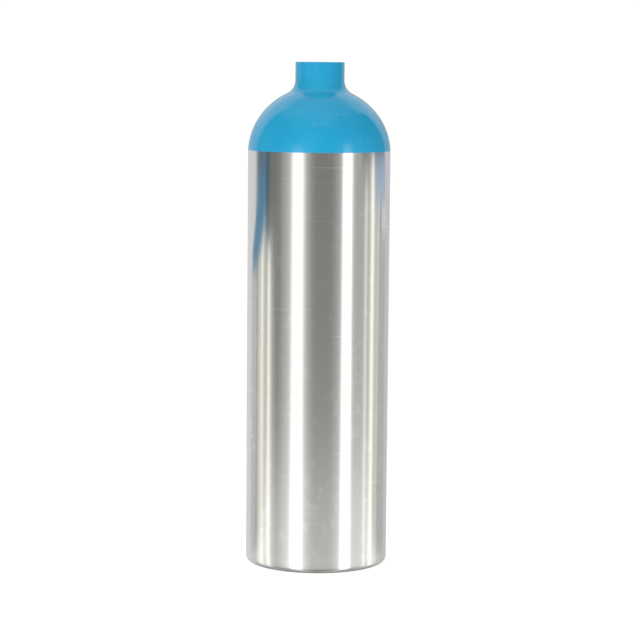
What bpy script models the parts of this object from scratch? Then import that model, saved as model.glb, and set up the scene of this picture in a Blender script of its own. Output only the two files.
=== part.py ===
"""Bare aluminium scuba cylinder: a seamless hollow shell, the paint on its crown, and the plug in its neck.

Metres, +Z up. The cylinder's axis is Z, and its base ring stands on Z = 0. Run it with
blender --background --python part.py, or from Blender's text editor.
"""

import math

import bmesh
import bpy

# The shell's outside
LENGTH = 0.652
BODY_RADIUS = 0.0921
CROWN_Z = 0.535  # where the straight wall ends and the crown begins
CROWN_HEIGHT = 0.086  # the crown is half an ellipse, this high without its neck
NECK_RADIUS = 0.0316
NECK_FILLET = 0.019  # hollow curve from the crown up into the neck
RIM_ROUNDING = 0.001
BASE_ROUNDING = 0.007
BASE_RING_INNER = 0.062  # the flat ring it stands on runs from here to the rounded edge
BASE_DISH = 0.0025  # how far the middle of the base is set in

# The shell's inside
WALL = 0.0123
FLOOR_Z = 0.0165
FLOOR_ROUNDING = 0.025
CHAMBER_CROWN_HEIGHT = 0.066
THROAT_ROUNDING = 0.016  # from the chamber's crown up into the neck bore

# The neck's thread, ISO metric M25 x 2
PITCH = 0.002
THREAD_RADIUS = 0.0125  # nominal, at the bottom of the shell's groove
SHARP_V_HEIGHT = PITCH * math.sqrt(3) / 2
BORE_RADIUS = THREAD_RADIUS - SHARP_V_HEIGHT * 5 / 8
GROOVE_FLAT = PITCH / 8  # width of the flat at the bottom of the groove
FLANK_SLOPE = math.tan(math.radians(30))
SHELL_THREAD_Z = LENGTH - 22 * PITCH  # below the bore, so that the groove runs out into the throat
SHELL_THREAD_TURNS = 20

# The O-ring's seat, a counterbore in the neck's top
SEAT_RADIUS = 0.0159
SEAT_DEPTH = 0.0052
SEAT_LEAD_IN = 0.0006
BORE_LEAD_IN = 0.0015

# The plug, in heights below the neck's top
PLUG_SINK = 0.0004
HEAD_RADIUS = 0.0153
HEAD_THICKNESS = 0.0016
HEAD_CHAMFER = 0.0004
COLLAR_RADIUS = 0.0123  # plain, inside the O-ring
COLLAR_BOTTOM = 0.0049
CORE_RADIUS = 0.01112
PLUG_THREAD_RADIUS = 0.0122
PLUG_THREAD_DEPTH = 12 * PITCH  # whole pitches from the top, so that it is in step with the shell's thread
PLUG_THREAD_TURNS = 8
FLANK_GAP = 0.00023  # along the axis, on each side of the plug's thread
SHANK_BOTTOM = 0.026
SHANK_CHAMFER = 0.001
HEX_ACROSS_FLATS = 0.014
HEX_DEPTH = 0.008
CORING_RADIUS = 0.008  # hollow underside, which keeps the moulded wall even
CORING_TOP = 0.013

# The O-ring
RING_SECTION_RADIUS = 0.001325
RING_RADIUS = 0.013975
RING_DEPTH = 0.0036

# The paint
PAINT_EDGE_Z = 0.5385
PAINT_GAP = 0.0001
PAINT_FILM = 0.0002

# Facets round a full turn
BODY_SEGMENTS = 40
PLUG_SEGMENTS = 24
THREAD_SEGMENTS = 16
RING_SEGMENTS = 24
RING_SECTION_SEGMENTS = 8

# Facets along each curve of the shell's outline
RIM_STEPS = 2
CROWN_STEPS = 8
NECK_FILLET_STEPS = 4
BASE_CORNER_STEPS = 3
BASE_DISH_STEPS = 3
FLOOR_STEPS = 3
CHAMBER_CROWN_STEPS = 6
THROAT_STEPS = 3

MERGE = 0.000001
TOUCH_PRECISION = 1e-9  # in radians, for where the crown meets its fillet
OVERCUT = 0.0002  # how far a cutter reaches past the surface it cuts
SHARP_ANGLE = math.radians(35)

ALUMINIUM = ("Brushed aluminium", (0.60, 0.59, 0.57), 0.30, 1.0)
PAINT = ("Blue paint", (0.03, 0.35, 0.66), 0.15, 0.0)
PLUG_PLASTIC = ("Black plastic", (0.03, 0.03, 0.035), 0.45, 0.0)
RUBBER = ("Black rubber", (0.015, 0.015, 0.015), 0.70, 0.0)


def clear_scene():
    for obj in list(bpy.context.scene.objects):
        bpy.data.objects.remove(obj, do_unlink=True)


def make_collection(name):
    collection = bpy.data.collections.new(name)
    bpy.context.scene.collection.children.link(collection)
    return collection


def make_material(name, color, roughness, metallic):
    material = bpy.data.materials.new(name)
    material.use_nodes = True
    shader = material.node_tree.nodes["Principled BSDF"]
    shader.inputs["Base Color"].default_value = (*color, 1)
    shader.inputs["Roughness"].default_value = roughness
    shader.inputs["Metallic"].default_value = metallic
    return material


def make_object(name, mesh, collection, height=0):
    obj = bpy.data.objects.new(name, mesh)
    obj.location.z = height
    collection.objects.link(obj)
    return obj


def make_cutter(name, mesh, collection, height=0):
    cutter = make_object(name, mesh, collection, height)
    cutter.hide_render = True
    cutter.display_type = "WIRE"
    return cutter


def apply_modifiers(obj):
    graph = bpy.context.evaluated_depsgraph_get()
    mesh = bpy.data.meshes.new_from_object(obj.evaluated_get(graph))
    obj.modifiers.clear()
    obj.data = mesh


def finish_part(obj, material):
    """Applies a part's modifiers, smooths its round faces and gives it its material."""
    apply_modifiers(obj)
    obj.data.materials.clear()
    obj.data.materials.append(make_material(*material))
    obj.data.shade_smooth()
    obj.data.set_sharp_from_angle(angle=SHARP_ANGLE)


def outline_mesh(name, outline, closed):
    """A mesh of edges in the XZ plane, through (radius, height) points."""
    edges = [(i, i + 1) for i in range(len(outline) - 1)]
    if closed:
        edges.append((len(outline) - 1, 0))
    mesh = bpy.data.meshes.new(name)
    mesh.from_pydata([(radius, 0, height) for radius, height in outline], edges, [])
    return mesh


def turn(obj, segments):
    """Turns an outline about Z into a closed surface."""
    screw = obj.modifiers.new("Turn", "SCREW")
    screw.steps = screw.render_steps = segments
    screw.use_merge_vertices = True
    screw.merge_threshold = MERGE


def boolean(obj, other, operation):
    modifier = obj.modifiers.new(other.name, "BOOLEAN")
    modifier.operation = operation
    modifier.object = other


def thread_half_width(radius):
    """Half the width of the shell's thread groove, along the axis, at a radius."""
    return GROOVE_FLAT / 2 + (THREAD_RADIUS - radius) * FLANK_SLOPE


def helix_mesh(name, inner_radius, outer_radius, slack, turns):
    """A right-handed helical ridge as one closed body. It starts at height 0, at +X."""
    inner = thread_half_width(inner_radius) - slack
    outer = thread_half_width(outer_radius) - slack
    outline = [(inner_radius, inner), (outer_radius, outer), (outer_radius, -outer), (inner_radius, -inner)]
    ridge = make_object(name, outline_mesh(name, outline, closed=True), bpy.context.scene.collection)
    screw = ridge.modifiers.new("Thread", "SCREW")
    screw.steps = screw.render_steps = THREAD_SEGMENTS
    screw.iterations = turns
    screw.screw_offset = PITCH
    apply_modifiers(ridge)
    mesh = ridge.data
    bpy.data.objects.remove(ridge)
    body = bmesh.new()
    body.from_mesh(mesh)
    bmesh.ops.holes_fill(body, edges=body.edges)
    bmesh.ops.recalc_face_normals(body, faces=body.faces)
    body.to_mesh(mesh)
    body.free()
    return mesh


def arc(center, radii, start, end, steps):
    """Points on an ellipse's arc, from one angle to another in degrees. 0 is outwards and 90 is up."""
    angles = [math.radians(start + (end - start) * i / steps) for i in range(steps + 1)]
    return [(center[0] + radii[0] * math.cos(a), center[1] + radii[1] * math.sin(a)) for a in angles]


def dome_normal(angle, radius, height):
    """Outward unit normal of an elliptical dome, at an angle of its ellipse."""
    across = height * math.cos(angle)
    up = radius * math.sin(angle)
    length = math.hypot(across, up)
    return across / length, up / length


def necked_dome(radius, height, neck_radius, fillet, dome_steps, fillet_steps):
    """A dome that a hollow fillet joins to a neck, from the neck down to the dome's edge at CROWN_Z."""
    low, high = 0, math.pi / 2
    while high - low > TOUCH_PRECISION:
        touch = (low + high) / 2
        across, up = dome_normal(touch, radius, height)
        if radius * math.cos(touch) + fillet * across > neck_radius + fillet:
            low = touch
        else:
            high = touch
    center = (neck_radius + fillet, CROWN_Z + height * math.sin(touch) + fillet * up)
    slope = math.degrees(math.atan2(up, across))
    hollow = arc(center, (fillet, fillet), 180, 180 + slope, fillet_steps)
    dome = arc((0, CROWN_Z), (radius, height), math.degrees(touch), 0, dome_steps)
    return hollow + dome[1:]


def crown_outline():
    """The outside of the neck and the crown, from the rim down to the straight wall."""
    rim_center = (NECK_RADIUS - RIM_ROUNDING, LENGTH - RIM_ROUNDING)
    rim = arc(rim_center, (RIM_ROUNDING, RIM_ROUNDING), 90, 0, RIM_STEPS)
    steps = (CROWN_STEPS, NECK_FILLET_STEPS)
    return rim + necked_dome(BODY_RADIUS, CROWN_HEIGHT, NECK_RADIUS, NECK_FILLET, *steps)


def base_outline():
    """The rounded edge of the base, its flat ring, and its middle, set in as a shallow dish."""
    corner_center = (BODY_RADIUS - BASE_ROUNDING, BASE_ROUNDING)
    corner = arc(corner_center, (BASE_ROUNDING, BASE_ROUNDING), 0, -90, BASE_CORNER_STEPS)
    dish = arc((0, 0), (BASE_RING_INNER, BASE_DISH), 0, 90, BASE_DISH_STEPS)
    return corner + dish[:-1] + [(0, BASE_DISH)]


def chamber_outline():
    """The chamber's inside, from the middle of its floor up to the foot of the neck bore."""
    radius = BODY_RADIUS - WALL
    corner_center = (radius - FLOOR_ROUNDING, FLOOR_Z + FLOOR_ROUNDING)
    corner = arc(corner_center, (FLOOR_ROUNDING, FLOOR_ROUNDING), -90, 0, FLOOR_STEPS)
    steps = (CHAMBER_CROWN_STEPS, THROAT_STEPS)
    crown = necked_dome(radius, CHAMBER_CROWN_HEIGHT, BORE_RADIUS, THROAT_ROUNDING, *steps)
    return [(0, FLOOR_Z)] + corner + crown[::-1]


def neck_bore_outline():
    """From the bore up through its lead-in and the O-ring's seat to the neck's top."""
    seat_floor = LENGTH - SEAT_DEPTH
    return [
        (BORE_RADIUS, seat_floor - BORE_LEAD_IN),
        (BORE_RADIUS + BORE_LEAD_IN, seat_floor),
        (SEAT_RADIUS, seat_floor),
        (SEAT_RADIUS, LENGTH - SEAT_LEAD_IN),
        (SEAT_RADIUS + SEAT_LEAD_IN, LENGTH),
    ]


def build_shell(parts, cutters):
    outline = chamber_outline() + neck_bore_outline() + crown_outline() + base_outline()
    shell = make_object("cylinder_shell", outline_mesh("cylinder_shell", outline, closed=False), parts)
    turn(shell, BODY_SEGMENTS)
    groove = helix_mesh("neck_thread_groove", BORE_RADIUS - OVERCUT, THREAD_RADIUS, 0, SHELL_THREAD_TURNS)
    boolean(shell, make_cutter("neck_thread_groove", groove, cutters, SHELL_THREAD_Z), "DIFFERENCE")
    finish_part(shell, ALUMINIUM)


def offset_outline(outline, distance):
    """The outline moved outwards along its own normals, for one that runs down its outer side."""
    moved = []
    for i, (radius, height) in enumerate(outline):
        before = outline[max(i - 1, 0)]
        after = outline[min(i + 1, len(outline) - 1)]
        across = before[1] - after[1]
        up = after[0] - before[0]
        length = math.hypot(across, up)
        moved.append((radius + distance * across / length, height + distance * up / length))
    return moved


def build_paint(parts):
    """A thin skin over the neck and the crown, from below the rim to the paint's edge."""
    edge_angle = math.asin((PAINT_EDGE_Z - CROWN_Z) / CROWN_HEIGHT)
    edge = (BODY_RADIUS * math.cos(edge_angle), PAINT_EDGE_Z)
    covered = [point for point in crown_outline() if PAINT_EDGE_Z < point[1] <= LENGTH - RIM_ROUNDING]
    covered.append(edge)
    inside = offset_outline(covered, PAINT_GAP)
    outside = offset_outline(covered, PAINT_GAP + PAINT_FILM)
    outline = outside + inside[::-1]
    paint = make_object("crown_paint", outline_mesh("crown_paint", outline, closed=True), parts)
    turn(paint, BODY_SEGMENTS)
    finish_part(paint, PAINT)


def plug_outline():
    """The plug without its thread and socket, from the middle of its top round to its hollow underside."""
    head_bottom = PLUG_SINK + HEAD_THICKNESS
    depths = [
        (0, PLUG_SINK),
        (HEAD_RADIUS - HEAD_CHAMFER, PLUG_SINK),
        (HEAD_RADIUS, PLUG_SINK + HEAD_CHAMFER),
        (HEAD_RADIUS, head_bottom),
        (COLLAR_RADIUS, head_bottom),
        (COLLAR_RADIUS, COLLAR_BOTTOM),
        (CORE_RADIUS, COLLAR_BOTTOM),
        (CORE_RADIUS, SHANK_BOTTOM - SHANK_CHAMFER),
        (CORE_RADIUS - SHANK_CHAMFER, SHANK_BOTTOM),
        (CORING_RADIUS, SHANK_BOTTOM),
        (CORING_RADIUS, CORING_TOP),
        (0, CORING_TOP),
    ]
    return [(radius, -depth) for radius, depth in depths]


def hex_mesh():
    """The socket's hexagonal prism, from OVERCUT above the plug's top down to the socket's floor."""
    height = HEX_DEPTH + OVERCUT
    prism = bmesh.new()
    corner_radius = HEX_ACROSS_FLATS / 2 / math.cos(math.pi / 6)
    bmesh.ops.create_cone(
        prism,
        cap_ends=True,
        segments=6,
        radius1=corner_radius,
        radius2=corner_radius,
        depth=height,
    )
    bmesh.ops.translate(prism, vec=(0, 0, OVERCUT - PLUG_SINK - height / 2), verts=prism.verts)
    mesh = bpy.data.meshes.new("hex_socket")
    prism.to_mesh(mesh)
    prism.free()
    return mesh


def build_plug(parts, cutters):
    plug = make_object("neck_plug", outline_mesh("neck_plug", plug_outline(), closed=False), parts, LENGTH)
    turn(plug, PLUG_SEGMENTS)
    ridge = helix_mesh("plug_thread", CORE_RADIUS - OVERCUT, PLUG_THREAD_RADIUS, FLANK_GAP, PLUG_THREAD_TURNS)
    boolean(plug, make_cutter("plug_thread", ridge, cutters, LENGTH - PLUG_THREAD_DEPTH), "UNION")
    boolean(plug, make_cutter("hex_socket", hex_mesh(), cutters, LENGTH), "DIFFERENCE")
    finish_part(plug, PLUG_PLASTIC)


def build_ring(parts):
    bpy.ops.mesh.primitive_torus_add(
        major_segments=RING_SEGMENTS,
        minor_segments=RING_SECTION_SEGMENTS,
        major_radius=RING_RADIUS,
        minor_radius=RING_SECTION_RADIUS,
        location=(0, 0, LENGTH - RING_DEPTH),
    )
    ring = bpy.context.object
    ring.name = ring.data.name = "plug_o_ring"
    for collection in list(ring.users_collection):
        collection.objects.unlink(ring)
    parts.objects.link(ring)
    finish_part(ring, RUBBER)


def main():
    clear_scene()
    parts = make_collection("Scuba cylinder")
    cutters = make_collection("Cutters")
    build_shell(parts, cutters)
    build_paint(parts)
    build_plug(parts, cutters)
    build_ring(parts)


main()
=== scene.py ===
"""The scuba cylinder's looks: fine meshes, materials, floor, light and camera.

Metres, +Z up. The cylinder stands on Z = 0 with its axis on Z, and its front faces -Y.
"""

import math

import bmesh
import bpy
import numpy as np
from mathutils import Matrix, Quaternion, Vector


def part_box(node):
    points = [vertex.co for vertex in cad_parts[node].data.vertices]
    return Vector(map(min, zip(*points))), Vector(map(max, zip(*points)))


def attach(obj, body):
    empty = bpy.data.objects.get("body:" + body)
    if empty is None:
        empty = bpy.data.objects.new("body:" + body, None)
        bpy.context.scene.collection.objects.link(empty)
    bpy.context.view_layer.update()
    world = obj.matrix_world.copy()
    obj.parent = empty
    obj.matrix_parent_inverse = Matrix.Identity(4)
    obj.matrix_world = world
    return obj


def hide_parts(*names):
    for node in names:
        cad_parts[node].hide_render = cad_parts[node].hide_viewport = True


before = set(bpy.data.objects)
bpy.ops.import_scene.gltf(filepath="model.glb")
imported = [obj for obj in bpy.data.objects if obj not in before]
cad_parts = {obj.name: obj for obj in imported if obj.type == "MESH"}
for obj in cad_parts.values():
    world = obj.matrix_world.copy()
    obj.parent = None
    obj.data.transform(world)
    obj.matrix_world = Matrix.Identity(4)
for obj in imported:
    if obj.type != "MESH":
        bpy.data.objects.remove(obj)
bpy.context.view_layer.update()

# Sizes that the frame gives
SHELL_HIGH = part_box("cylinder_shell")[1]
LENGTH = SHELL_HIGH.z
BODY_RADIUS = SHELL_HIGH.x
PAINT_EDGE_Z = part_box("crown_paint")[0].z
PLUG_LOW, PLUG_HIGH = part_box("neck_plug")
RING_LOW, RING_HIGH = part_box("plug_o_ring")

# The shell's outside
CROWN_AND_NECK = 0.117
CROWN_Z = LENGTH - CROWN_AND_NECK  # where the straight wall ends and the crown begins
CROWN_HEIGHT = 0.086
NECK_RADIUS = 0.0316
NECK_FILLET = 0.019
RIM_ROUNDING = 0.001
BASE_ROUNDING = 0.007
BASE_RING_INNER = 0.062
BASE_DISH = 0.0025
CENTRE_MARK_RADIUS = 0.0035
CENTRE_MARK_DEPTH = 0.0012
CENTRE_MARK_MARGIN = 1.5  # the dish stops at this many times the mark's radius

# The shell's inside
WALL = 0.0123
FLOOR_Z = 0.0165
FLOOR_ROUNDING = 0.025
CHAMBER_CROWN_HEIGHT = 0.066
THROAT_ROUNDING = 0.016
SEAT_RADIUS = 0.0159
SEAT_DEPTH = 0.0052
SEAT_CORNER = 0.0003
SEAT_LEAD_IN = 0.0006
BORE_LEAD_IN = 0.0015

# The thread, M25 x 2
PITCH = 0.002
THREAD_RADIUS = 0.0125
BORE_RADIUS = THREAD_RADIUS - PITCH * math.sqrt(3) / 2 * 5 / 8
FLANK_SLOPE = math.tan(math.radians(30))
GROOVE_HALF_WIDTH = PITCH / 16  # at THREAD_RADIUS
THREAD_ROWS = 12  # rows of faces for each pitch
THREAD_FADE = 0.0012  # the thread comes to its full height over this much

# The plug
HEAD_THICKNESS = 0.0016
HEAD_ROUNDING = 0.0004
HEAD_UNDERCUT = 0.0002
HEAD_INNER_RING = 0.0095  # a ring on the head's flat top, just outside the socket
COLLAR_RADIUS = 0.0123
COLLAR_BOTTOM_Z = LENGTH - 0.0049
CORE_RADIUS = 0.01112
PLUG_THREAD_RADIUS = 0.0122
FLANK_GAP = 0.00023
RELIEF = 0.0008  # the bare shank between the collar and the thread
SHANK_CHAMFER = 0.001
HEX_ACROSS_FLATS = 0.014
HEX_CORNER = 0.985  # a corner's distance from the axis, as a share of a sharp corner's
HEX_DEPTH = 0.008
HEX_CHAMFER = 0.0005
HEX_FLOOR_ROUNDING = 0.0003
CORING_RADIUS = 0.008
CORING_TOP_Z = LENGTH - 0.013
CORING_ROUNDING = 0.001
SMALL_BREAK = 0.0003  # a moulded edge's rounding

# The O-ring
MOULD_FLASH = 0.00004

# The coat of paint
COAT = 0.00014  # how far the coat stands out from the crown's outline
REBATE = 0.0005  # under the coat the metal is set in, so that the stamped marks have depth
REBATE_RINGS = 5  # rings from the rim over which the rebate reaches its depth
HIDDEN_SHARE = 0.9  # the coat's hidden side is this share of REBATE deep
EDGE_MARGIN = 0.0002  # no ring lies nearer than this above the coat's lower edge
RIM_BARE_RINGS = 2  # the rim's first rings are bare metal
# An edge is rounded over so many rings, and starts with such a share of a ring
OUTER_TOP_EDGE = (3, 0.3)
OUTER_BOTTOM_EDGE = (2, 0.4)
HIDDEN_TOP_EDGE = (6, 0)
HIDDEN_BOTTOM_EDGE = (2, 0)

# The stamped marks
MARK_DEPTH = 0.00042
MARK_SOFTNESS = 0.0005  # the width of a mark's sloping edge
MARK_HALF_WIDTH = 0.0008
MARK_REACH = 0.004  # no mark reaches further than this up or down from its row
# Rows of stamped strokes: height, and for each stroke its distance along the row from the front, its length
# and its lean in degrees. A stroke of no length is a dot.
MARK_ROWS = (
    (0.5868, ((0.007, 0.0, 0), (0.0235, 0.002, 20), (0.0315, 0.003, 60))),
    (0.5743, ((-0.0085, 0.002, 70), (-0.0035, 0.0, 0), (0.0025, 0.003, 35), (0.0105, 0.002, 150),
              (0.051, 0.0, 0))),
    (0.5530, ((0.067, 0.003, 50), (0.0725, 0.0, 0))),
)

# How fine the meshes are
COLUMNS = 192
CREASE_ANGLE = math.radians(38)
WALL_SPACING = 0.02
RIM_STEPS = 6
FILLET_STEPS = 12
DOME_STEPS = 48
MARKED_DOME_STEPS = 190
CORNER_STEPS = 12
BRUSHED_CORNER_STEPS = 10  # the brushing ends here on the base's rounded corner
DISH_STEPS = 24
FLOOR_STEPS = 10
CHAMBER_DOME_STEPS = 20
THROAT_STEPS = 8
HEAD_STEPS = 5
RING_STEPS = 36
STAGE_COLUMNS = 96
WELD_DISTANCE = 1e-7
TOUCH_TOLERANCE = 1e-9  # radians, for where the fillet touches the dome
FRONT = math.radians(-90)
MARKED_SIDE = (math.radians(-9), math.radians(50))  # from the front
MARKED_COLUMN = math.radians(0.3)
PLAIN_COLUMN = math.radians(2)
AFTER_MARKS = math.radians(1.5)  # the steps between the marked side's columns and the plain ones
BEFORE_MARKS = math.radians(0.7)

# Noise patterns: features in a metre along X, Y and Z, and the layers of detail. Then come the detail's
# strength and the distortion, where they aren't the usual ones.
FINE_BRUSHING = ((5, 5, 2400), 2)
COARSE_BRUSHING = ((9, 9, 420), 3)
SMUDGES = ((70, 70, 55), 3, 0.55)
SCRATCHES = ((14, 14, 420), 1)
LATHE_RINGS = ((3500, 3500, 1), 1)  # along the radius and Z
LATHE_BLOTCHES = ((120, 120, 120), 3)
DRAWING_LINES = ((500, 500, 8), 3)
CHAMBER_CLOUDS = ((40, 40, 20), 3)
BASE_RINGS = ((900, 1200, 1), 2)  # along the radius and Z
BASE_SCUFFS = ((70, 420, 200), 4, 0.6, 1.5)
PAINT_CLOUDS = ((22, 22, 30), 3)
ORANGE_PEEL = ((520, 520, 520), 2)
PAINT_SPECKS = ((1500, 1500, 1500), 0)
PLASTIC_GRAIN = ((2600, 2600, 2600), 2)
PLASTIC_RUBS = ((150, 150, 150), 4)
RUBBER_BLOOM = ((220, 220, 220), 4)
RUBBER_GRAIN = ((3000, 3000, 3000), 2)

QUARTER_TURN = 0.25  # turns the brushing's highlight along the axis

# Brushed aluminium
BRUSHED_COLORS = ((0.81, 0.805, 0.785), (0.93, 0.925, 0.905))
BRUSHED_ROUGHNESS = 0.205
BRUSHING_ROUGHNESS = 0.03
SCRATCH_ROUGHNESS = 0.04
SMUDGE_LEVELS = (0.54, 0.74)
SMUDGE_SHARE = 0.55
SCRATCH_LEVELS = (0.70, 0.78)
COARSE_SHARE = 0.5
BRUSHING_DEPTH = 0.000003
BRUSHING_STRETCH = 0.9

# Turned aluminium, at the neck's top and in its bore
TURNED_COLORS = ((0.80, 0.80, 0.79), (0.90, 0.90, 0.89))
TURNED_ROUGHNESS = (0.24, 0.40)
BLOTCH_LEVELS = (0.3, 0.75)
TURNING_DEPTH = 0.00002
TURNING_STRETCH = 0.7

# Dull aluminium, inside
CHAMBER_COLORS = ((0.60, 0.60, 0.60), (0.74, 0.74, 0.73))
CHAMBER_ROUGHNESS = (0.42, 0.56)
DRAWING_LEVELS = (0.3, 0.7)
DRAWING_DEPTH = 0.00003

# Scuffed aluminium, at the base
BASE_COLORS = ((0.86, 0.855, 0.84), (0.72, 0.71, 0.70))
BASE_ROUGHNESS = 0.30
SCUFF_LEVELS = (0.52, 0.66)
SCUFF_ROUGHNESS = 0.14
BASE_RING_ROUGHNESS = 0.06
BASE_DEPTH = 0.00003
BASE_STRETCH = 0.8

# Paint
PAINT_COLORS = ((0.018, 0.375, 0.655), (0.026, 0.400, 0.690))
PAINT_LEVELS = (0.3, 0.7)
PAINT_ROUGHNESS = (0.08, 0.12)
PAINT_IOR = 1.5
# The stamped marks' paler blue is a painted highlight: it stands for the glints that the marks catch.
GLINT_PAINTED_COLOR = (0.22, 0.55, 0.72)
GLINT_PAINTED_SHARE = 0.4
SPECK_LEVELS = (0.74, 0.80)
SPECK_SHARE = 0.6
PAINT_DEPTH = 0.000012

# Plastic and rubber
PLASTIC_COLORS = ((0.018, 0.018, 0.020), (0.035, 0.035, 0.038))
PLASTIC_ROUGHNESS = 0.52
RUBBED_LEVELS = (0.45, 0.7)
RUBBED_SMOOTHNESS = 0.12
PLASTIC_DEPTH = 0.00003
RUBBER_COLORS = ((0.010, 0.010, 0.010), (0.030, 0.030, 0.032))
RUBBER_ROUGHNESS = 0.55
BLOOM_LEVELS = (0.45, 0.75)
BLOOM_ROUGHNESS = 0.18
RUBBER_DEPTH = 0.00001

# The room that reflections see, in azimuths from the front, + to the right, and elevations, all in degrees
WHITE = (1.0, 1.0, 0.985)
WARM = (1.0, 1.0, 0.86)
PINK = (1.0, 0.94, 0.88)
BROWN = (1.0, 0.985, 0.94)
COOL = (0.975, 0.975, 1.0)
# Upright light panels, and one that takes light away: azimuth, half width, soft edge, brightness, colour
PANELS = (
    (-34.7, 9.4, 9.0, 1.0, WHITE),
    (-36.5, 18.5, 28.0, 0.46, WHITE),
    (-60.0, 6.0, 10.0, 0.06, PINK),
    (-87.5, 2.3, 2.5, 1.00, WHITE),
    (-98.0, 19.0, 18.0, 0.30, WARM),
    (-103.5, 3.2, 4.0, 0.70, WARM),
    (-112.0, 3.0, 4.0, 0.30, WARM),
    (41.5, 12.5, 24.0, 0.29, WHITE),
    (47.0, 7.2, 9.0, 1.9, WHITE),
    (83.0, 2.8, 2.5, 0.47, WHITE),
    (87.0, 30.5, 7.0, 0.25, WHITE),
    (98.0, 4.0, 2.0, 0.68, WARM),
    (104.0, 14.0, 3.0, 0.14, WARM),
    (114.5, 2.5, 3.0, 0.26, WARM),
    (152.0, 12.0, 16.0, -0.14, WHITE),
)
PANEL_TOP = (5.0, 26.0)  # elevations between which the panels fade into the ceiling
PANEL_LEAN = 2.5  # how far the panels' lower parts are to the right
LEAN_FADE = (-5.0, -13.0)
ROOM = 0.20
GROUND = 0.44
GROUND_FADE = (-8.0, -18.0)  # elevations between which the room turns into the lit ground
DEPTH = 0.26
DEPTH_SHARE = 0.75
DEPTH_FADE = (-18.0, -42.0)  # elevations between which everything darkens towards what lies below
BACKDROP = 0.74
BACKDROP_EDGE = (118.0, 126.0)  # azimuths between which the room turns into the backdrop
BACK_FLAG = 0.40  # a darker flat in the middle of the backdrop
BACK_FLAG_WIDTH = 12.0
BACKDROP_TOP = 1.0
BACKDROP_FADE = (64.0, 46.0)  # elevations between which the backdrop reaches its full brightness
CEILING = 0.14
OVERHEAD = 0.52
OVERHEAD_FADE = (40.0, 64.0)  # elevations between which the ceiling turns into the light overhead
SURROUND = 1.05

# The floor, and the ring of lit table that reflections see round the cylinder
FLOOR_RADIUS = 0.9
FLOOR_GLOW = 0.70
FLOOR_DEPTH = 0.0004
FLOOR_COLOR = (0.8, 0.8, 0.8)
TABLE_GLOW = 0.34
TABLE_HOLE = 0.11
TABLE_EDGE = 0.78
TABLE_FADE = (0.04, -0.06)  # the glow begins between these Y, in front of the axis


def rectangle(left, right, bottom, top):
    """Corners of an upright rectangle: (sideways, height)."""
    return ((left, bottom), (right, bottom), (right, top), (left, top))


# Cards that only reflections see: azimuth, distance from the axis, colour, and corners, where a corner is
# (distance sideways from the card's middle, height)
LEFT = -105.0
RIGHT = 105.0
LEFT_BLUE_CORNERS = (
    (0.11, 0.75), (0.035, 0.75), (0.035, 0.47), (0.01, 0.435), (-0.02, 0.405), (-0.03, 0.37),
    (0.02, 0.375), (0.08, 0.41), (0.11, 0.436),
)
LEFT_DARK_CORNERS = ((0.103, 0.75), (0.103, 0.42), (0.137, 0.41), (0.137, 0.75))
LEFT_GREY_CORNERS = ((0.136, 0.75), (0.136, 0.40), (0.20, 0.385), (0.20, 0.75))
RIGHT_NEIGHBOUR_CORNERS = ((-0.037, -0.05), (0.070, -0.05), (0.055, 0.42), (-0.037, 0.42))
RIGHT_BLUE_CORNERS = ((-0.087, 0.47), (0.035, 0.46), (0.035, 0.53), (-0.087, 0.53))
FLAG_CORNERS = rectangle(-0.065, 0.065, 0.61, 0.95)
CARDS = {
    "left_neighbour": (LEFT, 0.23, (0.57, 0.57, 0.55), rectangle(-0.038, 0.026, -0.05, 0.40)),
    "right_neighbour": (RIGHT, 0.23, (0.50, 0.50, 0.49), RIGHT_NEIGHBOUR_CORNERS),
    "left_blue_card": (LEFT, 0.22, (0.105, 0.26, 0.42), LEFT_BLUE_CORNERS),
    "left_dark_card": (LEFT, 0.215, (0.08, 0.14, 0.175), LEFT_DARK_CORNERS),
    "left_grey_card": (LEFT, 0.217, (0.19, 0.20, 0.20), LEFT_GREY_CORNERS),
    "left_top_card": (LEFT, 0.212, (0.127, 0.19, 0.245), rectangle(0.035, 0.105, 0.507, 0.75)),
    "right_blue_card": (RIGHT, 0.22, (0.40, 0.50, 0.64), RIGHT_BLUE_CORNERS),
    "right_grey_card": (RIGHT, 0.225, (0.40, 0.41, 0.39), rectangle(-0.28, -0.13, 0.49, 0.53)),
    "right_dark_card": (RIGHT, 0.22, (0.12, 0.15, 0.19), rectangle(-0.20, 0.02, 0.53, 0.75)),
    "left_flag": (-35.0, 0.25, (0.2, 0.2, 0.2), FLAG_CORNERS),
    "right_flag": (47.0, 0.25, (0.2, 0.2, 0.2), FLAG_CORNERS),
}

# The key light
KEY_PLACE = Vector((-0.5, -2.5, 1.9))
KEY_SIZE = 1.2
KEY_POWER = 41.5

# The camera
CAMERA_PLACE = Vector((0, -3.0, 0.655))
CAMERA_AIM = Vector((0.0028, 0, 0.3174))
CAMERA_ROLL = math.radians(0.50)
LENS = 130.2
SENSOR_WIDTH = 36.0


# Outlines

def arc(center, radii, start, end, steps):
    """Points on an ellipse's arc, from one angle to another in degrees. 0 is outwards and 90 is up."""
    angles = [math.radians(start + (end - start) * i / steps) for i in range(steps + 1)]
    return [(center[0] + radii[0] * math.cos(a), center[1] + radii[1] * math.sin(a)) for a in angles]


def dome_normal(angle, radius, height):
    """Outward unit normal of an elliptical dome, at an angle of its ellipse."""
    across = height * math.cos(angle)
    up = radius * math.sin(angle)
    length = math.hypot(across, up)
    return across / length, up / length


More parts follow.
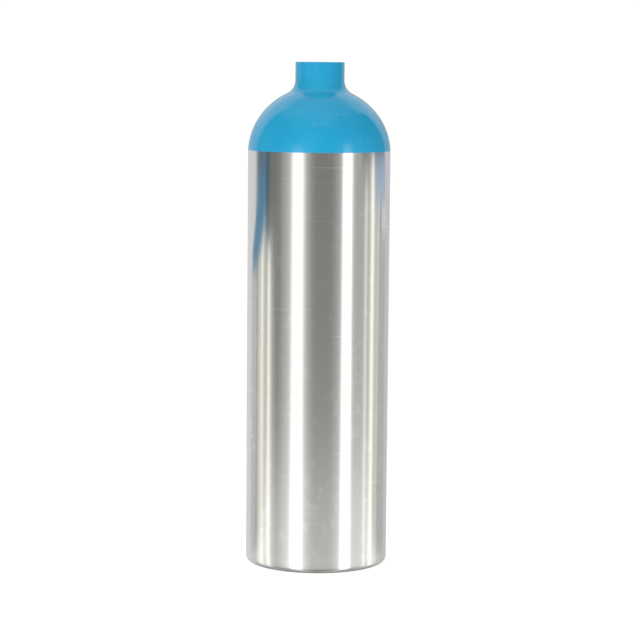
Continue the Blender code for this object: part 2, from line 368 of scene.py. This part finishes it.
def necked_dome(radius, height, neck_radius, fillet, dome_steps, fillet_steps):
    """A dome that a hollow fillet joins to a neck, from the neck down to the dome's edge at CROWN_Z."""
    low, high = 0, math.pi / 2
    while high - low > TOUCH_TOLERANCE:
        touch = (low + high) / 2
        across, up = dome_normal(touch, radius, height)
        if radius * math.cos(touch) + fillet * across > neck_radius + fillet:
            low = touch
        else:
            high = touch
    center = (neck_radius + fillet, CROWN_Z + height * math.sin(touch) + fillet * up)
    slope = math.degrees(math.atan2(up, across))
    hollow = arc(center, (fillet, fillet), 180, 180 + slope, fillet_steps)
    dome = arc((0, CROWN_Z), (radius, height), math.degrees(touch), 0, dome_steps)
    return hollow + dome[1:]


def crown_outline(dome_steps):
    """The outside of the neck and the crown, from the rim down to the straight wall."""
    rim_center = (NECK_RADIUS - RIM_ROUNDING, LENGTH - RIM_ROUNDING)
    rim = arc(rim_center, (RIM_ROUNDING, RIM_ROUNDING), 90, 0, RIM_STEPS)
    return rim + necked_dome(BODY_RADIUS, CROWN_HEIGHT, NECK_RADIUS, NECK_FILLET, dome_steps, FILLET_STEPS)


def paint_edge_point():
    """Where the coat's lower edge meets the crown's outside."""
    angle = math.asin((PAINT_EDGE_Z - CROWN_Z) / CROWN_HEIGHT)
    return (BODY_RADIUS * math.cos(angle), PAINT_EDGE_Z)


def direction_at(outline, i):
    """The outline's unit direction at a point, as (outwards, downwards)."""
    before = outline[max(i - 1, 0)]
    after = outline[min(i + 1, len(outline) - 1)]
    length = math.dist(before, after)
    return (after[0] - before[0]) / length, (before[1] - after[1]) / length


def offset_outline(outline, distances):
    """The outline moved outwards along its own normals, for one that runs down its outer side."""
    moved = []
    for i, (radius, height) in enumerate(outline):
        out, down = direction_at(outline, i)
        moved.append((radius + distances[i] * down, height + distances[i] * out))
    return moved


def even_line(start, end, spacing):
    """Points from start to end, spacing apart or a little less, without the start."""
    steps = max(1, math.ceil(math.dist(start, end) / spacing))
    run = np.subtract(end, start)
    return [tuple(start + run * i / steps) for i in range(1, steps + 1)]


# Meshes of rings round Z

def column_angles(count=COLUMNS):
    return np.arange(count) * math.tau / count


def turned_mesh(name, outline, angles, finishes=None):
    """Joins rings round Z into one surface.

    outline holds (radius, height) for each ring, where radius is one number or one for each column. A ring of
    radius 0 is a single point. finishes holds the material index of the faces that follow each ring.
    """
    columns = len(angles)
    points = []
    starts = []
    for radius, height in outline:
        starts.append(len(points))
        radii = np.broadcast_to(np.asarray(radius, float), (columns,))
        if radii.max() == 0:
            points.append((0.0, 0.0, float(height)))
            continue
        heights = np.broadcast_to(np.asarray(height, float), (columns,))
        points.extend(zip(radii * np.cos(angles), radii * np.sin(angles), heights))
    starts.append(len(points))
    faces = []
    slots = []
    for ring in range(len(outline) - 1):
        upper, lower, end = starts[ring:ring + 3]
        for i in range(columns):
            j = (i + 1) % columns
            if lower - upper == 1:
                faces.append((upper, lower + i, lower + j))
            elif end - lower == 1:
                faces.append((upper + i, lower, upper + j))
            else:
                faces.append((upper + i, lower + i, lower + j, upper + j))
        slots += [finishes[ring] if finishes else 0] * columns
    mesh = bpy.data.meshes.new(name)
    mesh.from_pydata(points, [], faces)
    mesh.polygons.foreach_set("material_index", slots)
    mesh.shade_smooth()
    mesh.set_sharp_from_angle(angle=CREASE_ANGLE)
    mesh.update()
    return mesh


def weld(mesh):
    """Joins points that lie on each other, and turns all faces outwards."""
    body = bmesh.new()
    body.from_mesh(mesh)
    bmesh.ops.remove_doubles(body, verts=body.verts, dist=WELD_DISTANCE)
    bmesh.ops.recalc_face_normals(body, faces=body.faces)
    body.to_mesh(mesh)
    body.free()


def put(name, data):
    """A new object in the scene."""
    thing = bpy.data.objects.new(name, data)
    bpy.context.scene.collection.objects.link(thing)
    return thing


def make_piece(name, mesh, materials, body, node):
    """A visible piece that stands for a CAD node and moves with its body."""
    piece = put(name, mesh)
    for material in materials:
        mesh.materials.append(material)
    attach(piece, body)
    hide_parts(node)


def thread_rows(low, high, root, crest, half_width, angles):
    """Rings with a right-handed V thread, from low up to high.

    half_width is half the groove's width at THREAD_RADIUS. The thread is a groove outwards in a bore and a
    ridge in a shank: both stand between the radii root and crest, and fade to the root at the two ends.
    """
    count = math.ceil((high - low) / PITCH * THREAD_ROWS)
    rows = []
    for i in range(count + 1):
        height = low + (high - low) * i / count
        phase = (height - LENGTH) / PITCH - angles / math.tau
        distance = np.abs(phase - np.round(phase)) * PITCH
        radius = np.clip(THREAD_RADIUS - (distance - half_width) / FLANK_SLOPE, root, crest)
        fade = min(1, (height - low) / THREAD_FADE, (high - height) / THREAD_FADE)
        rows.append((root + (radius - root) * fade, height))
    return rows


# The shell

BRUSHED, TURNED, INSIDE, BASE = range(4)  # the order of the shell's materials


def corner_outline():
    """The base's rounded corner, from the wall down to the flat ring."""
    center = (BODY_RADIUS - BASE_ROUNDING, BASE_ROUNDING)
    return arc(center, (BASE_ROUNDING, BASE_ROUNDING), 0, -90, CORNER_STEPS)


def dish_outline():
    """The middle of the base, set in as a shallow dish with a centre mark."""
    dish = arc((0, 0), (BASE_RING_INNER, BASE_DISH), 0, 90, DISH_STEPS)
    mark_floor = BASE_DISH + CENTRE_MARK_DEPTH
    mark = [
        (CENTRE_MARK_RADIUS, BASE_DISH),
        (CENTRE_MARK_RADIUS - CENTRE_MARK_DEPTH, mark_floor),
        (0, mark_floor),
    ]
    return [point for point in dish if point[0] > CENTRE_MARK_RADIUS * CENTRE_MARK_MARGIN] + mark


def chamber_outline():
    """The chamber's inside, from the middle of its floor up to the foot of the neck bore."""
    radius = BODY_RADIUS - WALL
    center = (radius - FLOOR_ROUNDING, FLOOR_Z + FLOOR_ROUNDING)
    corner = arc(center, (FLOOR_ROUNDING, FLOOR_ROUNDING), -90, 0, FLOOR_STEPS)
    crown = necked_dome(radius, CHAMBER_CROWN_HEIGHT, BORE_RADIUS, THROAT_ROUNDING, CHAMBER_DOME_STEPS,
                        THROAT_STEPS)
    return [(0, FLOOR_Z)] + corner + crown[::-1]


def seat_outline():
    """The bore's lead-in and the O-ring's seat, up to the neck's top."""
    floor = LENGTH - SEAT_DEPTH
    return [
        (BORE_RADIUS + BORE_LEAD_IN, floor),
        (SEAT_RADIUS - SEAT_CORNER, floor),
        (SEAT_RADIUS, floor + SEAT_CORNER),
        (SEAT_RADIUS, LENGTH - SEAT_LEAD_IN),
        (SEAT_RADIUS + SEAT_LEAD_IN, LENGTH),
    ]


def covered_crown():
    """The metal under the coat: the crown's outline, set in by REBATE except at its two ends."""
    crown = [point for point in crown_outline(DOME_STEPS) if point[1] > PAINT_EDGE_Z + REBATE]
    depths = [-REBATE * min(1, i / REBATE_RINGS) for i in range(len(crown))]
    edge = paint_edge_point()
    return offset_outline(crown, depths) + [(edge[0] - REBATE, edge[1]), edge]


def build_shell(materials):
    angles = column_angles()
    chamber = chamber_outline()
    bore_top = LENGTH - SEAT_DEPTH - BORE_LEAD_IN
    bore = thread_rows(chamber[-1][1], bore_top, BORE_RADIUS, THREAD_RADIUS, GROOVE_HALF_WIDTH, angles)
    wall_top = (BODY_RADIUS, CROWN_Z)
    wall = [wall_top] + even_line(wall_top, (BODY_RADIUS, BASE_ROUNDING), WALL_SPACING)
    corner = corner_outline()
    bands = (
        (INSIDE, chamber[:-1]),
        (TURNED, bore + seat_outline()),
        (BRUSHED, covered_crown() + wall + corner[1:BRUSHED_CORNER_STEPS]),
        (BASE, corner[BRUSHED_CORNER_STEPS:] + dish_outline()),
    )
    outline = [ring for _, rings in bands for ring in rings]
    finishes = [finish for finish, rings in bands for _ in rings]
    mesh = turned_mesh("brushed_shell", outline, angles, finishes)
    make_piece("brushed_shell", mesh, materials, "cylinder", "cylinder_shell")


# The coat of paint, with the stamped marks

def mark_share(along, height, slope_length):
    """How far points are into the marks, from 0 to 1. along is each point's distance round from the front."""
    share = np.zeros_like(along)
    for row_height, marks in MARK_ROWS:
        across = (height - row_height) * slope_length
        if abs(across) > MARK_REACH:
            continue
        for place, length, lean in marks:
            lean = math.radians(lean)
            lengthways = (along - place) * math.cos(lean) + across * math.sin(lean)
            sideways = across * math.cos(lean) - (along - place) * math.sin(lean)
            beyond = np.maximum(np.abs(lengthways) - length / 2, 0)
            distance = np.hypot(beyond, sideways) - MARK_HALF_WIDTH
            step = np.clip(0.5 - distance / MARK_SOFTNESS, 0, 1)
            share = np.maximum(share, step * step * (3 - 2 * step))
    return share


def coat_angles():
    """Columns round the crown, from the front and closer together where the marks are."""
    marked = np.arange(*MARKED_SIDE, MARKED_COLUMN)
    plain = np.arange(marked[-1] + AFTER_MARKS, marked[0] + math.tau - BEFORE_MARKS, PLAIN_COLUMN)
    return np.concatenate([marked, plain])


def coat_outline(dome_steps):
    """The crown and neck that the coat covers, from the rim's top down to the paint's edge."""
    crown = crown_outline(dome_steps)[RIM_BARE_RINGS:]
    return [point for point in crown if point[1] > PAINT_EDGE_Z + EDGE_MARGIN] + [paint_edge_point()]


def edge_shares(count, top, bottom):
    """Each ring's share of the full depth, which the rings at the two edges fall short of."""
    last = count - 1
    return [min(1, (i + top[1]) / top[0], (last - i + bottom[1]) / bottom[0]) for i in range(count)]


def painted_side(round_front):
    """The coat's outside with the marks pressed in, and each ring's share of the marks."""
    covered = coat_outline(MARKED_DOME_STEPS)
    thickness = [COAT * share for share in edge_shares(len(covered), OUTER_TOP_EDGE, OUTER_BOTTOM_EDGE)]
    rings = []
    shares = []
    for i, (radius, height) in enumerate(offset_outline(covered, thickness)):
        out, down = direction_at(covered, i)
        slope_length = 1 / down if down > 0 else 1
        share = mark_share(round_front * radius, height, slope_length)
        rings.append((radius - share * MARK_DEPTH * down, height - share * MARK_DEPTH * out))
        shares.append(share)
    return rings, shares


def hidden_side():
    """The coat's side that lies in the rebate."""
    covered = coat_outline(DOME_STEPS)
    shares = edge_shares(len(covered), HIDDEN_TOP_EDGE, HIDDEN_BOTTOM_EDGE)
    return offset_outline(covered, [-REBATE * HIDDEN_SHARE * share for share in shares])


def build_coat(material):
    angles = coat_angles()
    round_front = (angles + math.pi) % math.tau - math.pi
    outer, shares = painted_side(round_front)
    outline = outer + hidden_side()[::-1][1:-1] + [outer[0]]
    mesh = turned_mesh("blue_coat", outline, FRONT + angles)
    # Each point's share of the marks is kept on the mesh, where the paint reads it for a painted highlight.
    marked = np.concatenate(shares)
    values = np.zeros(len(mesh.vertices), np.float32)
    values[:len(marked)] = marked
    stamped = mesh.attributes.new("stamped", "FLOAT", "POINT")
    stamped.data.foreach_set("value", values)
    weld(mesh)
    make_piece("blue_coat", mesh, [material], "cylinder", "crown_paint")


# The plug and its O-ring

def hexagon(across_flats, angles):
    """A hexagon's radius at each angle, with its corners slightly rounded."""
    turned = (angles + math.pi / 6) % (math.pi / 3) - math.pi / 6
    sharp = across_flats / 2 / np.cos(turned)
    return np.minimum(sharp, across_flats / 2 / math.cos(math.pi / 6) * HEX_CORNER)


def socket_rings(top, angles):
    """The hexagon socket, from the middle of its floor up to its mouth."""
    floor = top - HEX_DEPTH
    wall = hexagon(HEX_ACROSS_FLATS, angles)
    mouth = hexagon(HEX_ACROSS_FLATS + 2 * HEX_CHAMFER, angles)
    foot = hexagon(HEX_ACROSS_FLATS - 2 * HEX_FLOOR_ROUNDING, angles)
    return [
        (0, floor),
        (foot / 2, floor),
        (foot, floor),
        (wall, floor + HEX_FLOOR_ROUNDING),
        (wall, top - HEX_CHAMFER),
        (mouth, top),
    ]


def head_rings(top):
    """The round head, from its flat top round its edge to the collar."""
    radius = PLUG_HIGH.x
    bottom = top - HEAD_THICKNESS
    edge_center = (radius - HEAD_ROUNDING, top - HEAD_ROUNDING)
    edge = arc(edge_center, (HEAD_ROUNDING, HEAD_ROUNDING), 90, 0, HEAD_STEPS)
    return [
        (HEAD_INNER_RING, top),
        (radius - 3 * HEAD_ROUNDING, top),
        *edge,
        (radius, bottom + HEAD_UNDERCUT),
        (radius - HEAD_UNDERCUT, bottom),
        (COLLAR_RADIUS, bottom),
    ]


def shank_rings(bottom, angles):
    """The collar, the threaded shank and the cored-out lower end, down to the middle of the coring's roof."""
    half_width = GROOVE_HALF_WIDTH - FLANK_GAP
    thread = thread_rows(bottom + SHANK_CHAMFER, COLLAR_BOTTOM_Z - RELIEF, CORE_RADIUS, PLUG_THREAD_RADIUS,
                         half_width, angles)
    return [
        (COLLAR_RADIUS, COLLAR_BOTTOM_Z + SMALL_BREAK),
        (COLLAR_RADIUS - SMALL_BREAK, COLLAR_BOTTOM_Z),
        (CORE_RADIUS, COLLAR_BOTTOM_Z),
        *thread[::-1],
        (CORE_RADIUS - SHANK_CHAMFER, bottom),
        (CORING_RADIUS + SMALL_BREAK, bottom),
        (CORING_RADIUS, bottom + SMALL_BREAK),
        (CORING_RADIUS, CORING_TOP_Z - CORING_ROUNDING),
        (CORING_RADIUS - CORING_ROUNDING, CORING_TOP_Z),
        (0, CORING_TOP_Z),
    ]


def build_plug(material):
    angles = column_angles()
    outline = socket_rings(PLUG_HIGH.z, angles) + head_rings(PLUG_HIGH.z) + shank_rings(PLUG_LOW.z, angles)
    mesh = turned_mesh("storage_plug", outline, angles)
    make_piece("storage_plug", mesh, [material], "plug", "neck_plug")


def build_ring(material):
    """The O-ring, with the fine ridge that its mould leaves round the outside and the inside."""
    section = (RING_HIGH.z - RING_LOW.z) / 2
    center = (RING_HIGH.x - section, (RING_HIGH.z + RING_LOW.z) / 2)
    outline = []
    for i in range(RING_STEPS):
        angle = math.tau * i / RING_STEPS
        on_ridge = i % (RING_STEPS // 2) == 0
        reach = section if on_ridge else section - MOULD_FLASH
        outline.append((center[0] + reach * math.cos(angle), center[1] - reach * math.sin(angle)))
    outline.append(outline[0])
    mesh = turned_mesh("seal_ring", outline, column_angles())
    weld(mesh)
    make_piece("seal_ring", mesh, [material], "seal", "plug_o_ring")


# Shader nodes

def set_input(tree, socket, value):
    """Gives a socket a number, a colour or another node's output."""
    if isinstance(value, bpy.types.NodeSocket):
        tree.links.new(value, socket)
    else:
        socket.default_value = value


def add(tree, kind, settings=None, **inputs):
    """A new node with its settings and inputs. In an input's name, _ stands for a space."""
    made = tree.nodes.new(kind)
    for name, value in (settings or {}).items():
        setattr(made, name, value)
    for name, value in inputs.items():
        set_input(tree, made.inputs[name.replace("_", " ")], value)
    return made


def combine(tree, operation, first, second=0.0, third=0.0):
    """A Math node's result, from numbers or outputs."""
    made = add(tree, "ShaderNodeMath", {"operation": operation})
    for socket, value in zip(made.inputs, (first, second, third)):
        set_input(tree, socket, value)
    return made.outputs[0]


def start_material(name):
    """A material of one Principled shader: the material, its tree, the shader and the object coordinates."""
    material = bpy.data.materials.new(name)
    material.use_nodes = True
    tree = material.node_tree
    tree.nodes.clear()
    shader = add(tree, "ShaderNodeBsdfPrincipled")
    add(tree, "ShaderNodeOutputMaterial", Surface=shader.outputs["BSDF"])
    place = add(tree, "ShaderNodeTexCoord").outputs["Object"]
    return material, tree, shader, place


def noise_at(tree, place, scale, detail, roughness=0.5, distortion=0.0):
    """Noise from 0 to 1. scale is the number of features in a metre, along X, Y and Z."""
    scaled = add(tree, "ShaderNodeVectorMath", {"operation": "MULTIPLY"})
    set_input(tree, scaled.inputs[0], place)
    set_input(tree, scaled.inputs[1], scale)
    made = add(tree, "ShaderNodeTexNoise", Vector=scaled.outputs[0], Scale=1.0, Detail=detail,
               Roughness=roughness, Distortion=distortion)
    return made.outputs["Fac"]


def ramp(tree, value, low, high, low_result=0.0, high_result=1.0):
    """A value's smooth step from low to high."""
    made = add(tree, "ShaderNodeMapRange", {"interpolation_type": "SMOOTHSTEP"}, Value=value, From_Min=low,
               From_Max=high, To_Min=low_result, To_Max=high_result)
    return made.outputs["Result"]


def mix_colors(tree, share, first, second):
    """A colour between two, each of them a colour or an output."""
    made = add(tree, "ShaderNodeMix", {"data_type": "RGBA", "clamp_result": False})
    set_input(tree, made.inputs["Factor"], share)
    sockets = [socket for socket in made.inputs if socket.type == "RGBA"]
    for socket, value in zip(sockets, (first, second)):
        set_input(tree, socket, (*value, 1) if isinstance(value, tuple) else value)
    return next(socket for socket in made.outputs if socket.type == "RGBA")


def add_colors(tree, base, share, color):
    """The base colour plus a share of another."""
    made = add(tree, "ShaderNodeVectorMath", {"operation": "MULTIPLY_ADD"})
    for socket, value in zip(made.inputs, (share, color, base)):
        set_input(tree, socket, value)
    return made.outputs[0]


def add_bump(tree, shader, height, distance):
    bump = add(tree, "ShaderNodeBump", Height=height, Distance=distance)
    tree.links.new(bump.outputs["Normal"], shader.inputs["Normal"])


def along_radius(tree, place):
    """Coordinates that run along the radius and Z, so that a pattern forms rings round the axis."""
    parts = add(tree, "ShaderNodeSeparateXYZ", Vector=place)
    squares = [combine(tree, "POWER", parts.outputs[axis], 2.0) for axis in ("X", "Y")]
    radius = combine(tree, "SQRT", combine(tree, "ADD", *squares))
    return add(tree, "ShaderNodeCombineXYZ", X=radius, Y=parts.outputs["Z"]).outputs["Vector"]


def brush_round_axis(tree, shader, stretch):
    """Lines brushed round Z: the highlight stretches along the axis."""
    shader.inputs["Anisotropic"].default_value = stretch
    shader.inputs["Anisotropic Rotation"].default_value = QUARTER_TURN
    tangent = add(tree, "ShaderNodeTangent", {"direction_type": "RADIAL", "axis": "Z"})
    tree.links.new(tangent.outputs["Tangent"], shader.inputs["Tangent"])


# Materials

def brushed_aluminium():
    """The shell's outside: lines brushed round the axis, with a few scratches and pale smudges."""
    material, tree, shader, place = start_material("brushed_aluminium")
    fine = noise_at(tree, place, *FINE_BRUSHING)
    coarse = noise_at(tree, place, *COARSE_BRUSHING)
    smudges = ramp(tree, noise_at(tree, place, *SMUDGES), *SMUDGE_LEVELS)
    scratches = ramp(tree, noise_at(tree, place, *SCRATCHES), *SCRATCH_LEVELS)
    rough = combine(tree, "MULTIPLY_ADD", coarse, BRUSHING_ROUGHNESS, BRUSHED_ROUGHNESS)
    rough = combine(tree, "MULTIPLY_ADD", scratches, SCRATCH_ROUGHNESS, rough)
    pale = combine(tree, "MAXIMUM", combine(tree, "MULTIPLY", smudges, SMUDGE_SHARE), scratches)
    lines = combine(tree, "MULTIPLY_ADD", coarse, COARSE_SHARE, fine)
    set_input(tree, shader.inputs["Roughness"], rough)
    set_input(tree, shader.inputs["Base Color"], mix_colors(tree, pale, *BRUSHED_COLORS))
    set_input(tree, shader.inputs["Metallic"], 1.0)
    add_bump(tree, shader, combine(tree, "SUBTRACT", lines, scratches), BRUSHING_DEPTH)
    brush_round_axis(tree, shader, BRUSHING_STRETCH)
    return material


def machined_aluminium():
    """Bare turned metal: fine rings, as a lathe tool leaves them."""
    material, tree, shader, place = start_material("machined_aluminium")
    rings = noise_at(tree, along_radius(tree, place), *LATHE_RINGS)
    blotches = noise_at(tree, place, *LATHE_BLOTCHES)
    set_input(tree, shader.inputs["Roughness"], ramp(tree, blotches, *BLOTCH_LEVELS, *TURNED_ROUGHNESS))
    set_input(tree, shader.inputs["Base Color"], mix_colors(tree, rings, *TURNED_COLORS))
    set_input(tree, shader.inputs["Metallic"], 1.0)
    add_bump(tree, shader, rings, TURNING_DEPTH)
    brush_round_axis(tree, shader, TURNING_STRETCH)
    return material


def chamber_aluminium():
    """The unpolished inside: dull, with faint drawing lines along the axis."""
    material, tree, shader, place = start_material("chamber_aluminium")
    lines = noise_at(tree, place, *DRAWING_LINES)
    clouds = noise_at(tree, place, *CHAMBER_CLOUDS)
    set_input(tree, shader.inputs["Roughness"], ramp(tree, lines, *DRAWING_LEVELS, *CHAMBER_ROUGHNESS))
    set_input(tree, shader.inputs["Base Color"], mix_colors(tree, clouds, *CHAMBER_COLORS))
    set_input(tree, shader.inputs["Metallic"], 1.0)
    add_bump(tree, shader, lines, DRAWING_DEPTH)
    return material


def base_aluminium():
    """The base: turned in rings, and scuffed by what it stands on."""
    material, tree, shader, place = start_material("base_aluminium")
    rings = noise_at(tree, along_radius(tree, place), *BASE_RINGS)
    scuffs = ramp(tree, noise_at(tree, place, *BASE_SCUFFS), *SCUFF_LEVELS)
    rough = combine(tree, "MULTIPLY_ADD", scuffs, SCUFF_ROUGHNESS, BASE_ROUGHNESS)
    rough = combine(tree, "MULTIPLY_ADD", rings, BASE_RING_ROUGHNESS, rough)
    set_input(tree, shader.inputs["Roughness"], rough)
    set_input(tree, shader.inputs["Base Color"], mix_colors(tree, scuffs, *BASE_COLORS))
    set_input(tree, shader.inputs["Metallic"], 1.0)
    add_bump(tree, shader, combine(tree, "SUBTRACT", rings, scuffs), BASE_DEPTH)
    brush_round_axis(tree, shader, BASE_STRETCH)
    return material


def blue_paint():
    """Glossy blue paint with a slight orange peel, paler where marks are stamped: a painted highlight that
    stands for the glints the marks catch.
    """
    material, tree, shader, place = start_material("blue_gloss_paint")
    clouds = noise_at(tree, place, *PAINT_CLOUDS)
    color = mix_colors(tree, ramp(tree, clouds, *PAINT_LEVELS), *PAINT_COLORS)
    stamped = add(tree, "ShaderNodeAttribute", {"attribute_name": "stamped"}).outputs["Fac"]
    # Painted highlight: the stamped marks are made paler, for the glints that they catch.
    color = mix_colors(tree, combine(tree, "MULTIPLY", stamped, GLINT_PAINTED_SHARE), color, GLINT_PAINTED_COLOR)
    peel = noise_at(tree, place, *ORANGE_PEEL)
    specks = ramp(tree, noise_at(tree, place, *PAINT_SPECKS), *SPECK_LEVELS)
    set_input(tree, shader.inputs["Base Color"], color)
    set_input(tree, shader.inputs["Roughness"], ramp(tree, clouds, *PAINT_LEVELS, *PAINT_ROUGHNESS))
    set_input(tree, shader.inputs["IOR"], PAINT_IOR)
    add_bump(tree, shader, combine(tree, "MULTIPLY_ADD", specks, SPECK_SHARE, peel), PAINT_DEPTH)
    return material


def plug_plastic():
    """Black moulded plastic, a little smoother where it is rubbed."""
    material, tree, shader, place = start_material("moulded_black_plastic")
    rubbed = ramp(tree, noise_at(tree, place, *PLASTIC_RUBS), *RUBBED_LEVELS)
    rough = combine(tree, "MULTIPLY_ADD", rubbed, -RUBBED_SMOOTHNESS, PLASTIC_ROUGHNESS)
    set_input(tree, shader.inputs["Base Color"], mix_colors(tree, rubbed, *PLASTIC_COLORS))
    set_input(tree, shader.inputs["Roughness"], rough)
    add_bump(tree, shader, noise_at(tree, place, *PLASTIC_GRAIN), PLASTIC_DEPTH)
    return material


def ring_rubber():
    """Black nitrile rubber with patches of pale bloom."""
    material, tree, shader, place = start_material("nitrile_rubber")
    bloom = ramp(tree, noise_at(tree, place, *RUBBER_BLOOM), *BLOOM_LEVELS)
    rough = combine(tree, "MULTIPLY_ADD", bloom, BLOOM_ROUGHNESS, RUBBER_ROUGHNESS)
    set_input(tree, shader.inputs["Base Color"], mix_colors(tree, bloom, *RUBBER_COLORS))
    set_input(tree, shader.inputs["Roughness"], rough)
    add_bump(tree, shader, noise_at(tree, place, *RUBBER_GRAIN), RUBBER_DEPTH)
    return material


def glowing_material(name, color, glow, strength):
    """A dull material without a sheen that also gives off light."""
    material, _, shader, _ = start_material(name)
    shader.inputs["Base Color"].default_value = (*color, 1)
    shader.inputs["Specular IOR Level"].default_value = 0.0
    shader.inputs["Emission Color"].default_value = (*glow, 1)
    shader.inputs["Emission Strength"].default_value = strength
    return material


# Floor, light and camera

def tinted(color, brightness):
    return tuple(channel * brightness for channel in color)


def window(tree, value, center, half_width, soft):
    """1 within half_width of center, with soft edges that pass 0.5 there."""
    away = combine(tree, "ABSOLUTE", combine(tree, "SUBTRACT", value, center))
    return ramp(tree, away, half_width + soft / 2, max(half_width - soft / 2, 0.0))


def studio_walls(tree, azimuth, rise):
    """The room, the lit ground, the backdrop behind the cylinder and the upright panels."""
    away = combine(tree, "ABSOLUTE", azimuth)
    behind = ramp(tree, away, *BACKDROP_EDGE)
    flag = window(tree, away, 180.0, BACK_FLAG_WIDTH, BACK_FLAG_WIDTH)
    backdrop = mix_colors(tree, flag, tinted(COOL, BACKDROP), tinted(WHITE, BACK_FLAG))
    room = mix_colors(tree, ramp(tree, rise, *GROUND_FADE), tinted(BROWN, ROOM), tinted(WHITE, GROUND))
    walls = mix_colors(tree, behind, room, backdrop)
    leaning = combine(tree, "MULTIPLY_ADD", ramp(tree, rise, *LEAN_FADE), -PANEL_LEAN, azimuth)
    for center, half_width, soft, brightness, color in PANELS:
        panel = window(tree, leaning, center, half_width, soft)
        walls = add_colors(tree, walls, panel, tinted(color, brightness))
    deep = combine(tree, "MULTIPLY", ramp(tree, rise, *DEPTH_FADE), DEPTH_SHARE)
    return mix_colors(tree, deep, walls, tinted(WHITE, DEPTH))


def studio_ceiling(tree, azimuth, rise):
    """The dark ceiling with the light overhead, and the backdrop's upper part."""
    behind = ramp(tree, combine(tree, "ABSOLUTE", azimuth), *BACKDROP_EDGE)
    low_behind = combine(tree, "MULTIPLY", behind, ramp(tree, rise, *BACKDROP_FADE))
    overhead = ramp(tree, rise, *OVERHEAD_FADE)
    above = mix_colors(tree, overhead, tinted(WHITE, CEILING), tinted(WHITE, OVERHEAD))
    return mix_colors(tree, low_behind, above, tinted(COOL, BACKDROP_TOP))


def build_world():
    """A white surround for the camera, and for reflections a dim studio with upright light panels."""
    world = bpy.data.worlds.new("studio")
    bpy.context.scene.world = world
    world.use_nodes = True
    tree = world.node_tree
    tree.nodes.clear()
    direction = add(tree, "ShaderNodeTexCoord").outputs["Generated"]
    parts = add(tree, "ShaderNodeSeparateXYZ", Vector=direction)
    ahead = combine(tree, "MULTIPLY", parts.outputs["Y"], -1.0)
    azimuth = combine(tree, "DEGREES", combine(tree, "ARCTAN2", parts.outputs["X"], ahead))
    rise = combine(tree, "DEGREES", combine(tree, "ARCSINE", parts.outputs["Z"]))
    walls = studio_walls(tree, azimuth, rise)
    light = mix_colors(tree, ramp(tree, rise, *PANEL_TOP), walls, studio_ceiling(tree, azimuth, rise))
    studio = add(tree, "ShaderNodeBackground", Color=light, Strength=1.0)
    surround = add(tree, "ShaderNodeBackground", Color=(1, 1, 1, 1), Strength=SURROUND)
    seen = add(tree, "ShaderNodeLightPath").outputs["Is Camera Ray"]
    both = add(tree, "ShaderNodeMixShader", Fac=seen)
    tree.links.new(studio.outputs[0], both.inputs[1])
    tree.links.new(surround.outputs[0], both.inputs[2])
    add(tree, "ShaderNodeOutputWorld", Surface=both.outputs[0])


def build_floor():
    """The pale floor. Reflections see the world's lit ground in its place."""
    rings = [(FLOOR_RADIUS, -FLOOR_DEPTH), (FLOOR_RADIUS / 2, -FLOOR_DEPTH), (0, -FLOOR_DEPTH)]
    mesh = turned_mesh("pale_floor", rings, column_angles(STAGE_COLUMNS))
    mesh.materials.append(glowing_material("pale_floor", FLOOR_COLOR, (1, 1, 1), FLOOR_GLOW))
    floor = put("pale_floor", mesh)
    floor.visible_glossy = False


def stage_for_reflections(thing):
    """Only reflections see it, and it belongs to the stage."""
    thing.visible_camera = False
    thing.visible_diffuse = False
    thing.visible_shadow = False


def clear_glow():
    """A clear material that adds its light in front of the axis."""
    material = bpy.data.materials.new("table_glow")
    material.use_nodes = True
    tree = material.node_tree
    tree.nodes.clear()
    place = add(tree, "ShaderNodeTexCoord").outputs["Object"]
    depth = add(tree, "ShaderNodeSeparateXYZ", Vector=place).outputs["Y"]
    clear = add(tree, "ShaderNodeBsdfTransparent")
    glow = add(tree, "ShaderNodeEmission", Strength=ramp(tree, depth, *TABLE_FADE, 0.0, TABLE_GLOW))
    both = add(tree, "ShaderNodeAddShader")
    tree.links.new(clear.outputs[0], both.inputs[0])
    tree.links.new(glow.outputs[0], both.inputs[1])
    add(tree, "ShaderNodeOutputMaterial", Surface=both.outputs[0])
    return material


def build_table_glow():
    """The lit table round the cylinder, as a ring that adds its light to what lies beyond it."""
    mesh = turned_mesh("table_glow", [(TABLE_EDGE, 0), (TABLE_HOLE, 0)], column_angles(STAGE_COLUMNS))
    mesh.materials.append(clear_glow())
    stage_for_reflections(put("table_glow", mesh))


def build_card(name, azimuth, distance, color, corners):
    """An upright card that faces the cylinder's axis."""
    mesh = bpy.data.meshes.new(name)
    mesh.from_pydata([(x, -distance, z) for x, z in corners], [], [tuple(range(len(corners)))])
    mesh.materials.append(glowing_material(name, (0, 0, 0), color, 1.0))
    card = put(name, mesh)
    card.rotation_euler.z = math.radians(azimuth)
    stage_for_reflections(card)


def build_key():
    """A large soft light in front, which brightens paint and floor and isn't mirrored in the metal."""
    data = bpy.data.lights.new("key", "AREA")
    data.size = KEY_SIZE
    data.energy = KEY_POWER
    key = put("key", data)
    key.location = KEY_PLACE
    key.rotation_euler = (Vector((0, 0, LENGTH)) - KEY_PLACE).to_track_quat("-Z", "Y").to_euler()
    key.visible_glossy = False
    key.visible_camera = False


def build_camera():
    data = bpy.data.cameras.new("camera")
    data.lens = LENS
    data.sensor_width = SENSOR_WIDTH
    camera = put("camera", data)
    camera.location = CAMERA_PLACE
    facing = (CAMERA_AIM - CAMERA_PLACE).to_track_quat("-Z", "Y")
    camera.rotation_euler = (facing @ Quaternion((0, 0, 1), CAMERA_ROLL)).to_euler()
    bpy.context.scene.camera = camera


def main():
    build_camera()
    build_world()
    build_floor()
    build_table_glow()
    build_key()
    for name, card in CARDS.items():
        build_card(name, *card)
    build_shell([brushed_aluminium(), machined_aluminium(), chamber_aluminium(), base_aluminium()])
    build_coat(blue_paint())
    build_plug(plug_plastic())
    build_ring(ring_rubber())
    bpy.context.scene.view_settings.view_transform = "Standard"


main()
